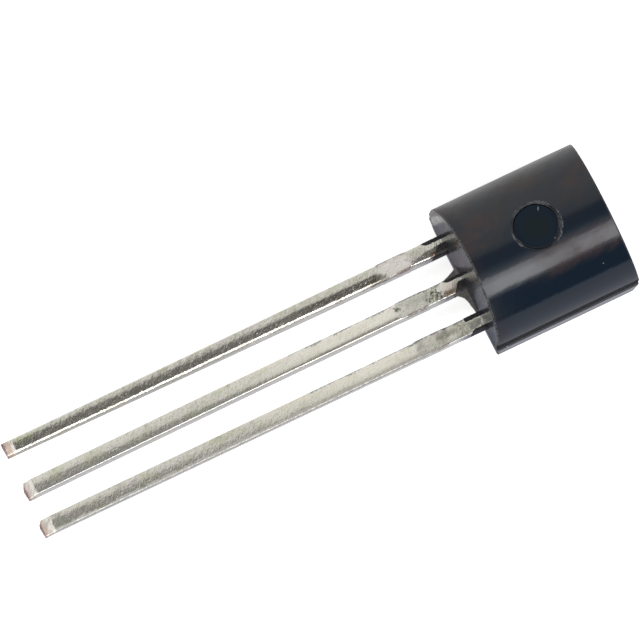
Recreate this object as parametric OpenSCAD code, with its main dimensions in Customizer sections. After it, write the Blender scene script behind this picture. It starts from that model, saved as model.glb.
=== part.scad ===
// Three-lead transistor in a half-round moulded case (TO-92 outline).
// It lies on its flat face. The leads run towards -X, the round back faces up (+Z),
// and the origin is the centre of the flat face.

/* [Case] */
// Length of the moulded case along the leads, at its parting land
case_len = 4.6; // [4.3:0.05:4.9]
// Width of the case across the leads, which is also the diameter of its round back
case_width = 4.5; // [4.35:0.05:4.8]
// Height of the front half, from the flat face up to the lead frame
front_height = 1.05; // [0.9:0.05:1.3]
// Width of the flat face
flat_width = 4.2; // [3.7:0.05:4.25]
// Mould draft on the two ends of the round back, in degrees
back_draft = 4; // [2:0.5:7]
// Mould draft on the two ends of the front half, in degrees
front_draft = 5; // [3:0.5:8]
// Chamfer along the four edges of the flat face
flat_chamfer = 0.08; // [0.04:0.01:0.15]
// Chamfer that breaks the two arched edges of the round back
edge_break = 0.05; // [0.03:0.01:0.1]

/* [Ejector mark] */
// Diameter of the flat mark that the mould's ejector pin leaves on the round back
mark_d = 1.5; // [1.2:0.05:1.6]
// Depth of the ejector mark below the crest of the back
mark_depth = 0.16; // [0.16:0.01:0.25]
// Distance of the ejector mark from mid-length, towards the top of the case
mark_offset = 0.06; // [-0.3:0.02:0.3]

/* [Leads] */
// Distance between the centre lines of neighbouring leads
lead_pitch = 1.27; // [1.2:0.01:1.35]
// Width of a lead
lead_width = 0.51; // [0.4:0.01:0.54]
// Thickness of the lead frame
lead_thickness = 0.4; // [0.36:0.01:0.5]
// Length of a lead outside the case
lead_length = 14.2; // [12.7:0.1:14.6]
// Radius that stamping leaves along a lead's two back edges
rollover_r = 0.09; // [0.05:0.01:0.12]
// Distance from the case to the stretch where the dam bar was cut away
dam_start = 1.2; // [1:0.05:1.5]
// Length of that stretch, which keeps its square edges
dam_len = 0.85; // [0.6:0.05:1.1]
// How far the cut stubs of the dam bar stand out on each side
dam_stub = 0.02; // [0.01:0.01:0.05]
// Length of the bevel that the cutter leaves on a lead's end
tip_bevel_len = 0.29; // [0.15:0.01:0.4]
// Depth of that bevel at the very end
tip_bevel_depth = 0.12; // [0.05:0.01:0.2]

/* [Mould flash] */
// Thickness of the resin skin left along the sides of each lead
flash_thickness = 0.03; // [0.02:0.005:0.06]
// Length of the skin on the base lead, out from the case
base_flash_len = 0.62; // [0.3:0.02:0.8]
// Length of the skin on the collector lead
collector_flash_len = 0.5; // [0.3:0.02:0.8]
// Length of the skin on the emitter lead
emitter_flash_len = 0.44; // [0.3:0.02:0.8]
// Length along the collector lead of the torn web on its base side
base_web_len = 0.42; // [0.2:0.02:0.6]
// Width of that web along the case
base_web_width = 0.26; // [0.1:0.02:0.5]
// Length along the collector lead of the torn web on its emitter side
emitter_web_len = 0.34; // [0.2:0.02:0.6]
// Width of that web along the case
emitter_web_width = 0.58; // [0.1:0.02:0.7]
// Thickness of the webs, which lie at the back face of the leads
web_thickness = 0.26; // [0.15:0.01:0.35]

/* [Lead frame inside] */
// Length of the collector's die flag along the leads
flag_len = 1.6; // [1.3:0.05:1.8]
// Width of the die flag
flag_width = 2.4; // [1.8:0.05:2.8]
// Resin between the die flag and the top of the case
flag_margin = 0.5; // [0.4:0.05:0.8]
// Diameter of the hole in the flag that locks the resin
lock_hole_d = 0.5; // [0.3:0.05:0.6]
// Length of a bond post's head
post_len = 0.85; // [0.6:0.05:1]
// Width of a bond post's head
post_width = 0.95; // [0.7:0.05:1]
// Gap between the heads and the die flag
frame_gap = 0.35; // [0.25:0.05:0.5]
// Width across the collector's locking shoulders, just inside the case
shoulder_width = 0.9; // [0.6:0.05:1]
// Radius of the frame's stamped corners
frame_corner_r = 0.1; // [0.05:0.01:0.12]

/* [Die and bond wires] */
// Side of the square silicon die
die_size = 0.5; // [0.35:0.01:0.7]
// Thickness of the die
die_thickness = 0.2; // [0.15:0.01:0.3]
// Thickness of the solder that holds the die
attach_thickness = 0.02; // [0.01:0.005:0.04]
// How far the solder shows around the die
attach_fillet = 0.04; // [0.02:0.01:0.08]
// Diameter of a gold bond wire
wire_d = 0.03; // [0.02:0.005:0.05]
// Height of the wire loops above the die
loop_height = 0.3; // [0.2:0.02:0.5]
// Diameter of the ball at a wire's start
ball_d = 0.09; // [0.07:0.005:0.11]
// Height of the ball
ball_height = 0.03; // [0.02:0.005:0.04]
// Distance from the die's centre to each bond pad
pad_offset = 0.13; // [0.08:0.01:0.2]

/* [Hidden] */
$fn = 64;

lead_top = front_height + lead_thickness;    // the leads' back face, where the round back begins
back_r = case_width / 2;
crest = lead_top + back_r;
face = -case_len / 2;                        // the case's lead end
side_draft = atan((case_width - flat_width) / 2 / front_height);
clear = 1;                                   // overshoot of cutting solids
flag_x = case_len / 2 - flag_margin - flag_len;
post_x = flag_x - frame_gap - post_len;
die_x = flag_x + flag_len * 0.4;
die_z = lead_top + attach_thickness;
root = 0.1;                                  // how far flash, webs and rolled edges reach into the case
stitch_d = 2.5 * wire_d;                     // the flattened foot of a wire on its post
stitch_height = 1.5 * wire_d;
wire_sides = 8;
wire_rings = 20;

// Each lead's end, seen from above: how far its +Y corner stands back from the full length,
// where its peak lies (1 is the +Y edge, -1 the -Y edge), and how far its -Y corner stands back.
base_tip = [0.01, 0.8, 0.06];
collector_tip = [0.2, 0, 0.12];
emitter_tip = [0.13, 0.5, 0.04];

// Extrudes a drawing of Y and Z along X, from x0 to x1.
module along_x(x0, x1) {
    translate([x0, 0, 0])
        rotate([90, 0, 90])
            linear_extrude(x1 - x0)
                children();
}

// Extrudes a drawing of X and Z along Y, over the given width about the middle.
module along_y(width) {
    translate([0, width / 2, 0])
        rotate([90, 0, 0])
            linear_extrude(width)
                children();
}

// Half of a drafted outline, as points from the parting land down to the flat face and past it.
// It stands upright at the land, leans in by the draft below it, and ends in a chamfer.
function drafted_side(wide, draft, drop) =
    let (narrow = wide - front_height * tan(draft))
    [
        [wide, lead_top],
        [wide, front_height],
        [narrow + flat_chamfer * tan(draft), flat_chamfer],
        [narrow - flat_chamfer, 0],
        if (drop > 0) [narrow - flat_chamfer - drop, -drop]
    ];

// A closed outline from one drafted side and its mirror image.
module drafted_outline(side) {
    last = len(side) - 1;
    polygon(concat(side, [for (k = [last : -1 : 0]) [-side[k].x, side[k].y]]));
}

// The front half of the case, from the flat face up to the lead frame, and the upright land
// around it at the level of the lead frame.
module front_half() {
    intersection() {
        along_x(-case_len, case_len)
            drafted_outline(drafted_side(case_width / 2, side_draft, 0));
        along_y(case_width + clear)
            drafted_outline(drafted_side(case_len / 2, front_draft, clear));
    }
}

// The round back: half a cylinder whose ends lean in by the mould draft.
module round_back() {
    intersection() {
        along_x(-case_len, case_len)
            intersection() {
                translate([0, lead_top]) circle(back_r, $fn = 128);
                translate([-case_width, lead_top]) square([2 * case_width, case_width]);
            }
        along_y(case_width + clear)
            translate([0, lead_top])
                polygon([
                    [-case_len / 2, 0],
                    [case_len / 2, 0],
                    [case_len / 2 - case_width * tan(back_draft), case_width],
                    [-case_len / 2 + case_width * tan(back_draft), case_width]
                ]);
        edge_cone();
        mirror([1, 0, 0]) edge_cone();
    }
}

// A cone square to the drafted end face. It chamfers the arched edge of the lead end.
module edge_cone() {
    length = 2 * case_len;
    translate([face, 0, lead_top])
        rotate([0, 90 + back_draft, 0])
            translate([0, 0, -clear])
                cylinder(
                    h = length,
                    r1 = back_r - edge_break - clear,
                    r2 = back_r - edge_break - clear + length,
                    $fn = 128
                );
}

// The flat-bottomed mark of the ejector pin on the round back.
module ejector_mark() {
    translate([mark_offset, 0, crest - mark_depth])
        cylinder(h = mark_depth + clear, d = mark_d);
}

// The thin resin skin along both sides of a lead, which also fills its rounded back edges.
module flash_skin(y, length) {
    outer = lead_width / 2 + flash_thickness;
    inner = lead_width / 2 - rollover_r;
    for (side = [0, 1])
        translate([face, y, front_height])
            mirror([0, side, 0])
                linear_extrude(lead_thickness)
                    polygon([
                        [root, inner],
                        [-length * 0.8, inner],
                        [-length, outer],
                        [root, outer]
                    ]);
}

// A torn web of resin in the corner between the case and the collector lead.
module web(length, width) {
    translate([face, lead_width / 2, lead_top - web_thickness])
        linear_extrude(web_thickness)
            polygon([
                [root, -rollover_r],
                [-length, -rollover_r],
                [-length, 0],
                [-length * 0.42, width * 0.4],
                [-length * 0.12, width * 0.75],
                [0, width],
                [root, width]
            ]);
}

// What stamping rolls off one back edge of a lead, between x0 and x1.
module rollover(x0, x1) {
    along_x(x0, x1)
        translate([lead_width / 2 - rollover_r, lead_top - rollover_r])
            difference() {
                square(rollover_r + clear);
                circle(rollover_r, $fn = 32);
            }
}

// The straight part of a lead, from its cut end through the case wall to x1.
module straight_lead(tip, x1) {
    end = face - lead_length;
    dam_x = face - dam_start - dam_len;
    difference() {
        union() {
            translate([end, -lead_width / 2, front_height])
                cube([x1 - end, lead_width, lead_thickness]);
            translate([dam_x, -lead_width / 2 - dam_stub, front_height])
                cube([dam_len, lead_width + 2 * dam_stub, lead_thickness]);
        }
        for (side = [0, 1])
            mirror([0, side, 0]) {
                rollover(end - clear, dam_x);
                rollover(dam_x + dam_len, face + root);
            }
        tip_cut(end, tip);
        tip_bevel(end);
    }
}

// What the cutter takes off a lead's end, seen from above.
module tip_cut(end, tip) {
    half = lead_width / 2;
    translate([0, 0, front_height - clear])
        linear_extrude(lead_thickness + 2 * clear)
            polygon([
                [end - clear, half + clear],
                [end + tip[0], half + clear],
                [end + tip[0], half],
                [end, half * tip[1]],
                [end + tip[2], -half],
                [end + tip[2], -half - clear],
                [end - clear, -half - clear]
            ]);
}

// The slope that the cutter presses into the back of a lead's end.
module tip_bevel(end) {
    along_y(lead_width + clear)
        polygon([
            [end - tip_bevel_len, lead_top - 2 * tip_bevel_depth],
            [end + tip_bevel_len, lead_top],
            [end + tip_bevel_len, lead_top + clear],
            [end - tip_bevel_len, lead_top + clear]
        ]);
}

// A flat plate of the lead frame with rounded corners.
module frame_plate(x0, x1, width) {
    r = frame_corner_r;
    translate([0, 0, front_height])
        linear_extrude(lead_thickness) {
            translate([x0 + r, -width / 2]) square([x1 - x0 - 2 * r, width]);
            translate([x0, -width / 2 + r]) square([x1 - x0, width - 2 * r]);
            for (x = [x0 + r, x1 - r], y = [-width / 2 + r, width / 2 - r])
                translate([x, y]) circle(r, $fn = 32);
        }
}

module collector_lead() {
    color("silver")
        difference() {
            union() {
                straight_lead(collector_tip, flag_x + frame_corner_r);
                frame_plate(flag_x, flag_x + flag_len, flag_width);
                frame_plate(face + 2 * root, face + 3 * root + lead_width, shoulder_width);
            }
            translate([flag_x + flag_len - lock_hole_d, 0, front_height - clear])
                cylinder(h = lead_thickness + 2 * clear, d = lock_hole_d, $fn = 48);
        }
}

// One of the two outer leads, with the head that its bond wire lands on.
module post_lead(y, tip) {
    translate([0, y, 0]) {
        straight_lead(tip, post_x + frame_corner_r);
        frame_plate(post_x, post_x + post_len, post_width);
    }
}

module base_lead() {
    color("silver") post_lead(lead_pitch, base_tip);
}

module emitter_lead() {
    color("silver") post_lead(-lead_pitch, emitter_tip);
}

module die_attach() {
    side = die_size + 2 * attach_fillet;
    color("lightgray")
        translate([die_x - side / 2, -side / 2, lead_top])
            cube([side, side, attach_thickness]);
}

module die() {
    color("slategray")
        translate([die_x - die_size / 2, -die_size / 2, die_z])
            cube([die_size, die_size, die_thickness]);
}

// Height of a wire loop at t, from the ball (0) to the stitch (1): a steep rise, then a long fall.
function loop_z(t, z0, z1) = z0 + (z1 - z0) * t + loop_height * sin(180 * pow(t, 0.6));

// Ring k of a wire that runs in a vertical plane from p0 to p1.
function wire_ring(k, p0, p1) =
    let (
        t = k / wire_rings,
        flat = [p1.x - p0.x, p1.y - p0.y, 0],
        along = flat / norm(flat),
        side = [-along.y, along.x, 0],
        centre = [p0.x + flat.x * t, p0.y + flat.y * t, loop_z(t, p0.z, p1.z)],
        dt = 0.5 / wire_rings,
        before = max(t - dt, 0),
        after = min(t + dt, 1),
        rise = loop_z(after, p0.z, p1.z) - loop_z(before, p0.z, p1.z),
        tangent = along * norm(flat) * (after - before) + [0, 0, rise],
        up = cross(tangent / norm(tangent), side)
    )
    [for (a = [0 : wire_sides - 1])
        centre - wire_d / 2 * (cos(360 * a / wire_sides) * side + sin(360 * a / wire_sides) * up)];

// A bond wire: a ball on the die, a loop, and a stitch on the post.
module bond_wire(start, finish) {
    rings = [for (k = [0 : wire_rings]) wire_ring(k, start, finish)];
    points = [for (ring = rings, p = ring) p];
    sides = [for (k = [0 : wire_rings - 1], a = [0 : wire_sides - 1])
        let (b = (a + 1) % wire_sides, i = k * wire_sides)
        [i + a, i + wire_sides + a, i + wire_sides + b, i + b]];
    first = [[for (a = [0 : wire_sides - 1]) a]];
    last = [[for (a = [wire_sides - 1 : -1 : 0]) wire_rings * wire_sides + a]];
    color("gold") {
        polyhedron(points, concat(sides, first, last), convexity = 4);
        translate([start.x, start.y, die_z + die_thickness])
            cylinder(h = ball_height, d = ball_d, $fn = 12);
        translate([finish.x, finish.y, lead_top])
            cylinder(h = stitch_height, d = stitch_d, $fn = 8);
    }
}

// The loop from the die's pad on one side to the head of that side's post.
module side_wire(side) {
    bond_wire(
        [die_x - pad_offset, side * pad_offset, die_z + die_thickness + ball_height / 2],
        [post_x + post_len / 2, side * lead_pitch, lead_top + stitch_height / 2]
    );
}

module base_wire() {
    side_wire(1);
}

module emitter_wire() {
    side_wire(-1);
}

module case() {
    color([0.09, 0.1, 0.13])
        difference() {
            union() {
                front_half();
                round_back();
                flash_skin(lead_pitch, base_flash_len);
                flash_skin(0, collector_flash_len);
                flash_skin(-lead_pitch, emitter_flash_len);
                web(base_web_len, base_web_width);
                mirror([0, 1, 0]) web(emitter_web_len, emitter_web_width);
            }
            ejector_mark();
            collector_lead();
            base_lead();
            emitter_lead();
            die();
            die_attach();
            base_wire();
            emitter_wire();
        }
}

case();
collector_lead();
base_lead();
emitter_lead();
die();
die_attach();
base_wire();
emitter_wire();
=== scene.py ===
"""Moulded three-lead transistor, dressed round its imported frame.

Laid out as an add-on and run as a script. Every piece is a surface worked out with numpy as a
function of two parameters, in metres, in the frame's own axes: the flat face lies on z = 0, the
leads run towards -X and the round back faces up.
"""

import math

import bmesh
import bpy
import numpy as np
from mathutils import Euler, Matrix, Vector


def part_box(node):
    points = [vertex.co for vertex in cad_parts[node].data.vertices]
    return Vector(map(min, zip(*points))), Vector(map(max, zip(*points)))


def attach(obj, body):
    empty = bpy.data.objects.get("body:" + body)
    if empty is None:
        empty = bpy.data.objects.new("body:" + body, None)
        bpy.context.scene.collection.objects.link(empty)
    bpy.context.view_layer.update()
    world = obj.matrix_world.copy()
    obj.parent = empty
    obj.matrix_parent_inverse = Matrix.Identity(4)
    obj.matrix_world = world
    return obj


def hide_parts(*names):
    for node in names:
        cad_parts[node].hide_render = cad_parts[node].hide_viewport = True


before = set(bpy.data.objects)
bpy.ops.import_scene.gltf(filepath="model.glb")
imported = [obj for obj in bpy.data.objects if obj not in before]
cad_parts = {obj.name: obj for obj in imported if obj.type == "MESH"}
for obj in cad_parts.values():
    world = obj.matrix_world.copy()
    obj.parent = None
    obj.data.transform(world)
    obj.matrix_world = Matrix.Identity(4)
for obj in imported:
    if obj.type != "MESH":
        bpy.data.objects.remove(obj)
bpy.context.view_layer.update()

bl_info = {
    "name": "Moulded transistor",
    "version": (1, 0, 0),
    "blender": (4, 5, 0),
    "location": "View3D > Sidebar > Transistor",
    "description": "Builds a half-round moulded transistor with three tinned leads",
    "category": "Add Mesh",
}

MM = 0.001
WELD = 1e-8  # points of a mesh that are closer than this in metres become one
_, CASE_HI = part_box("case")
LEAD_LO, LEAD_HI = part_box("collector_lead")
BASE_LO, BASE_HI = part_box("base_lead")
CASE_LO_X = -CASE_HI.x  # the case's lead end, which its flash runs past
ROOT = "root"


# ---------------------------------------------------------------- sizes and colours


def number(name, default, text, kind=bpy.props.FloatProperty, **limits):
    return kind(name=name, description=text, default=default, **limits)


def length(name, default, text):
    return number(name, default, text, min=0.0, precision=5, subtype="DISTANCE", unit="LENGTH")


def angle(name, degrees, text):
    return number(name, math.radians(degrees), text, subtype="ANGLE", unit="ROTATION")


def colour(name, rgb, thing):
    return number(name, rgb, "Colour of the " + thing, bpy.props.FloatVectorProperty, size=3,
                  min=0.0, max=1.0, subtype="COLOR")


def share(name, default, text):
    return number(name, default, text, min=0.0, max=1.0, subtype="FACTOR")


class CaseSizes(bpy.types.PropertyGroup):
    """Sizes of the moulded case"""

    length: length("Length", 2 * CASE_HI.x, "Length of the case at its parting land")
    width: length("Width", 2 * CASE_HI.y, "Width of the case, the diameter of its round back")
    flat_width: length("Flat width", 4.2 * MM, "Width of the flat face")
    chamfer: length("Chamfer", 0.08 * MM, "Chamfer along the edges of the flat face")
    front_draft: angle("Front draft", 5, "Mould draft on the two ends of the front half")
    back_draft: angle("Back draft", 4, "Mould draft on the two ends of the round back")
    edge: length("Edge radius", 0.05 * MM, "Radius of the edges between the sides and the ends")
    land_depth: length("Land depth", 0.012 * MM, "How far the parting land is sunk")
    mark: length("Mark diameter", 1.5 * MM, "Diameter of the ejector mark")
    mark_depth: length("Mark depth", 0.16 * MM, "Depth of the ejector mark below the crest")
    mark_offset: length("Mark offset", 0.06 * MM, "Distance of the mark from mid-length")
    mark_rim: length("Mark rim", 0.045 * MM, "Width of the worn rim inside the ejector mark")


class LeadSizes(bpy.types.PropertyGroup):
    """Sizes of the leads"""

    pitch: length("Pitch", (BASE_LO.y + BASE_HI.y) / 2, "Distance between neighbouring leads")
    width: length("Width", 0.51 * MM, "Width of a lead")
    edge: length("Edge radius", 0.042 * MM, "Radius along a lead's two back edges")
    front_edge: length("Front edge radius", 0.025 * MM, "Radius along its two front edges")
    dam_start: length("Dam start", 1.2 * MM, "Distance from the case to the cut dam bar")
    dam_length: length("Dam length", 0.85 * MM, "Length of the stretch with square edges")
    dam_stub: length("Dam stub", 0.006 * MM, "How far the stubs of the dam bar stand out")
    bevel_length: length("Bevel length", 0.42 * MM, "Length of the bevel at a lead's end")
    bevel_depth: length("Bevel depth", 0.12 * MM, "Depth of the bevel at the very end")


class Finishes(bpy.types.PropertyGroup):
    """Colours and finishes of the pieces"""

    resin: colour("Resin", (0.0065, 0.013, 0.0232), "moulding resin")
    resin_roughness: share("Resin roughness", 0.125, "Roughness of the moulded case")
    haze: colour("Haze", (0.022, 0.019, 0.019), "dusty film on the case")
    torn: colour("Torn resin", (0.155, 0.148, 0.145), "torn webs")
    tin: colour("Tin", (0.91, 0.89, 0.79), "tin plating")
    olive: colour("Olive", (0.74, 0.75, 0.58), "tarnish on the tin")
    rose: colour("Rose", (0.90, 0.81, 0.78), "thinnest plating")
    copper: colour("Copper", (0.62, 0.48, 0.39), "wiped plating at the cuts")
    gold: colour("Gold", (0.95, 0.68, 0.28), "bond wires")
    silicon: colour("Silicon", (0.20, 0.22, 0.27), "die")
    solder: colour("Solder", (0.45, 0.45, 0.46), "die's solder")
    floor: colour("Floor", (0.86, 0.86, 0.86), "floor")


class StudioSettings(bpy.types.PropertyGroup):
    """Camera and light"""

    camera_at: number(
        "Camera", (-0.0386451, -0.0719484, 0.2899932), "Where the camera stands",
        bpy.props.FloatVectorProperty, size=3, unit="LENGTH", subtype="TRANSLATION", precision=6)
    camera_turn: number(
        "Camera turn", [math.radians(a) for a in (15.392330, 0.618787, -26.078603)],
        "How the camera is turned", bpy.props.FloatVectorProperty, size=3, unit="ROTATION",
        subtype="EULER")
    lens: number("Lens", 582.1, "Focal length in millimetres", min=1.0)
    softbox: number("Softbox", 3.9, "Radiance of the long softbox", min=0.0)
    fill: share("Fill", 0.5, "Strength of the world on matte surfaces")
    floor_glow: share("Floor glow", 0.70, "What the backdrop adds to the floor's own light")


def props(group):
    return getattr(bpy.context.scene, "transistor_" + group)


# ---------------------------------------------------------------- surfaces


def waves(t, seed, count, low, high):
    """A smooth irregular line: a sum of sines of t in turns, whose frequencies, phases and
    shrinking heights come from a seeded generator. Its values stay within -1 and 1."""
    rng = np.random.default_rng(seed)
    f = np.round(rng.uniform(low, high, count))
    height = rng.uniform(0.4, 1.0, count) / np.sqrt(f)
    phase = rng.uniform(0, 2 * np.pi, count)
    t = np.asarray(t, float)[..., None]
    return (height * np.sin(2 * np.pi * f * t + phase)).sum(-1) / height.sum()


def smooth_step(t, start, end):
    """0 before start, 1 after end, and 3s^2 - 2s^3 between them, s being the way along."""
    s = np.clip((t - start) / (end - start), 0, 1)
    return s * s * (3 - 2 * s)


def unit(vectors):
    """Each row at a length of one."""
    return vectors / np.linalg.norm(vectors, axis=1, keepdims=True)


def way_along(line):
    """How far along a line of straight runs each of its points is."""
    return np.concatenate([[0], np.cumsum(np.linalg.norm(np.diff(line, axis=0), axis=1))])


def patch(points, wrap_rows=False, wrap_cols=False, keep=None):
    """A grid of points, counted row by row, with the four corners of each cell."""
    rows, cols = points.shape[:2]
    r = np.arange(rows if wrap_rows else rows - 1)
    c = np.arange(cols if wrap_cols else cols - 1)
    r, c = (a.ravel() for a in np.meshgrid(r, c, indexing="ij"))
    if keep is not None:
        r, c = r[keep[r, c]], c[keep[r, c]]
    r1, c1 = (r + 1) % rows, (c + 1) % cols
    faces = np.stack([r * cols + c, r * cols + c1, r1 * cols + c1, r1 * cols + c], -1)
    return points.reshape(-1, 3), faces


def linked(name, data):
    """A new object of that data, in the scene."""
    made = bpy.data.objects.new(name, data)
    bpy.context.scene.collection.objects.link(made)
    return made


def shell(name, patches, material, sharp=30.0, other=None, where=None):
    """One closed mesh from several patches: their points are welded where they meet, cells that
    shrink to a triangle at a pole lose the doubled corner, points without a face are left out,
    and the faces of each closed part are turned outward. Faces whose middle passes the test get
    the other material."""
    starts = np.cumsum([0] + [len(p) for p, _ in patches])
    points = np.concatenate([p for p, _ in patches])
    faces = np.concatenate([f + start for (_, f), start in zip(patches, starts)])
    _, first, back = np.unique(
        np.round(points / WELD).astype(np.int64), axis=0, return_index=True, return_inverse=True
    )
    points, faces = points[first], back.reshape(-1)[faces]
    same = faces == np.roll(faces, -1, axis=1)
    doubled = same.sum(1)
    quads = faces[doubled == 0]
    tris, hit = faces[doubled == 1], same[doubled == 1]
    corner = (np.argmax(hit, axis=1)[:, None] + np.arange(1, 4)) % 4
    tris = np.take_along_axis(tris, corner, axis=1)
    used, index = np.unique(np.concatenate([quads.ravel(), tris.ravel()]), return_inverse=True)
    quads, tris = index[:quads.size].reshape(-1, 4), index[quads.size:].reshape(-1, 3)
    mesh = bpy.data.meshes.new(name)
    mesh.from_pydata(points[used].tolist(), [], quads.tolist() + tris.tolist())
    mesh.validate()
    turned = bmesh.new()
    turned.from_mesh(mesh)
    bmesh.ops.recalc_face_normals(turned, faces=turned.faces)
    turned.to_mesh(mesh)
    turned.free()
    mesh.shade_smooth()
    mesh.set_sharp_from_angle(angle=math.radians(sharp))
    mesh.materials.append(material)
    if other:
        mesh.materials.append(other)
        middle = np.empty(3 * len(mesh.polygons))
        mesh.polygons.foreach_get("center", middle)
        mesh.polygons.foreach_set("material_index", where(middle.reshape(-1, 3)).astype(np.int32))
    return linked(name, mesh)


def filled_loop(loop, steps=3):
    """A closed loop filled to its middle: each point moves in a straight line to the mean."""
    k = np.linspace(1, 0, steps + 1)[:, None, None]
    middle = loop.mean(0)
    return patch(middle + k * (loop - middle), wrap_cols=True)


def slab(loop, z0, z1):
    """A flat outline of X and Y raised from z0 to z1, closed above and below."""
    low, high = (np.column_stack([loop, np.full(len(loop), z)]) for z in (z0, z1))
    return [patch(np.stack([low, high]), wrap_cols=True), filled_loop(low), filled_loop(high)]


def rounded_outline(p, radius):
    """A polygon with round corners: at each corner the two tangent points lie radius / tan(half
    the corner's angle) away along its sides, and an arc joins them."""
    before, after = unit(np.roll(p, 1, axis=0) - p), unit(np.roll(p, -1, axis=0) - p)
    half = np.arccos(np.clip((before * after).sum(1), -1, 1)) / 2
    centre = p + unit(before + after) * (radius / np.sin(half))[:, None]
    start, end = (p + side * (radius / np.tan(half))[:, None] - centre for side in (before, after))
    turn = np.arctan2(start[:, 0] * end[:, 1] - start[:, 1] * end[:, 0], (start * end).sum(1))
    a = turn[:, None] * np.linspace(0, 1, 6)
    x, y = start[:, :1], start[:, 1:]
    arc = np.stack([x * np.cos(a) - y * np.sin(a), x * np.sin(a) + y * np.cos(a)], -1)
    return (centre[:, None] + arc).reshape(-1, 2)


# ---------------------------------------------------------------- materials


def maths(operation, flip=False):
    """An operator of Socket that adds a Math node. Flipped, the other value comes first."""
    def method(self, other):
        return self.graph.math(operation, *((other, self) if flip else (self, other)))

    return method


class Socket:
    """A number that a node puts out. Python's operators on it add Math nodes."""

    def __init__(self, graph, socket):
        self.graph, self.socket = graph, socket

    __add__ = __radd__ = maths("ADD")
    __mul__ = __rmul__ = maths("MULTIPLY")
    __sub__, __rsub__ = maths("SUBTRACT"), maths("SUBTRACT", True)
    __pow__ = maths("POWER")

    def __neg__(self):
        return self * -1.0


class Graph:
    """The nodes of one material or world."""

    def __init__(self, owner):
        owner.use_nodes = True
        self.owner, self.tree = owner, owner.node_tree
        self.tree.nodes.clear()

    def node(self, kind, sockets=None, **settings):
        """Adds a shader node of that kind: its settings first, and then the values or links of
        its sockets."""
        made = self.tree.nodes.new("ShaderNode" + kind)
        for key, value in settings.items():
            setattr(made, key, value)
        for key, value in (sockets or {}).items():
            self.feed(made.inputs[key], value)
        return made

    def feed(self, inlet, value):
        if isinstance(value, Socket):
            value = value.socket
        if isinstance(value, bpy.types.NodeSocket):
            self.tree.links.new(value, inlet)
        elif inlet.type == "RGBA" and len(value) == 3:
            inlet.default_value = (*value, 1.0)
        else:
            inlet.default_value = value

    def math(self, operation, a, b=0.0):
        return Socket(self, self.node("Math", {0: a, 1: b}, operation=operation).outputs[0])

    def step(self, value, start, end):
        """0 before start, 1 after end and smooth between them."""
        made = self.node("MapRange", {"Value": value, "From Min": start, "From Max": end},
                         interpolation_type="SMOOTHSTEP")
        return Socket(self, made.outputs["Result"])

    def band(self, value, start, end, edge):
        """1 between start and end, 0 outside, with soft edges."""
        return self.step(value, start - edge, start + edge) * (
            1 - self.step(value, end - edge, end + edge)
        )

    def coats(self, tone, *coats):
        """The colour tone under coats, each a factor and a colour, the last one on top."""
        for factor, coat in coats:
            tone = self.node("Mix", {0: factor, 6: tone, 7: coat}, data_type="RGBA").outputs[2]
        return tone

    def place(self):
        """The point on the piece in millimetres: as a vector, and as x, y and z."""
        at = self.node("TexCoord").outputs["Object"]
        at = self.node("VectorMath", {0: at, 1: (1 / MM,) * 3}, operation="MULTIPLY").outputs[0]
        split = self.node("SeparateXYZ", {0: at})
        return at, *(Socket(self, split.outputs[k]) for k in range(3))

    def noise(self, at, size, turn=0.0, seat=(0.0, 0.0, 0.0), detail=3.0, rough=0.5):
        """Noise from 0 to 1 whose lumps are size millimetres, or so long, wide and high, turned
        about Z by so many degrees."""
        at = self.node("Mapping", {
            "Vector": at, "Location": seat, "Rotation": (0.0, 0.0, math.radians(turn)),
            "Scale": size if hasattr(size, "__len__") else (size,) * 3,
        }, vector_type="TEXTURE").outputs[0]
        made = self.node("TexNoise", {
            "Vector": at, "Scale": 1.0, "Detail": detail, "Roughness": rough})
        return Socket(self, made.outputs[0])

    def bump(self, height):
        """The surface's normal under a relief whose height is in millimetres."""
        return self.node("Bump", {"Height": height, "Distance": MM}).outputs[0]

    def surface(self, dust=None, **sockets):
        """Ends the material with a Principled shader of these sockets and gives the material.
        Dust is how much of it a layer with no shine hides, and the colour of that layer."""
        made = self.node("BsdfPrincipled", {
            key.replace("_", " ").title().replace("Ior", "IOR"): value
            for key, value in sockets.items()})
        if dust:
            layer = self.node("BsdfPrincipled", {
                "Base Color": dust[1], "Roughness": 0.9, "Specular IOR Level": 0.0})
            made = self.node("MixShader", {
                0: dust[0], 1: made.outputs[0], 2: layer.outputs[0]})
        return self.end(made)

    def end(self, shader, kind="Material"):
        self.node("Output" + kind, {0: shader.outputs[0]})
        return self.owner


def paint(name):
    """The graph of a new material, and the place on the piece as Graph.place gives it."""
    g = Graph(bpy.data.materials.new(name))
    return g, *g.place()


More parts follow.
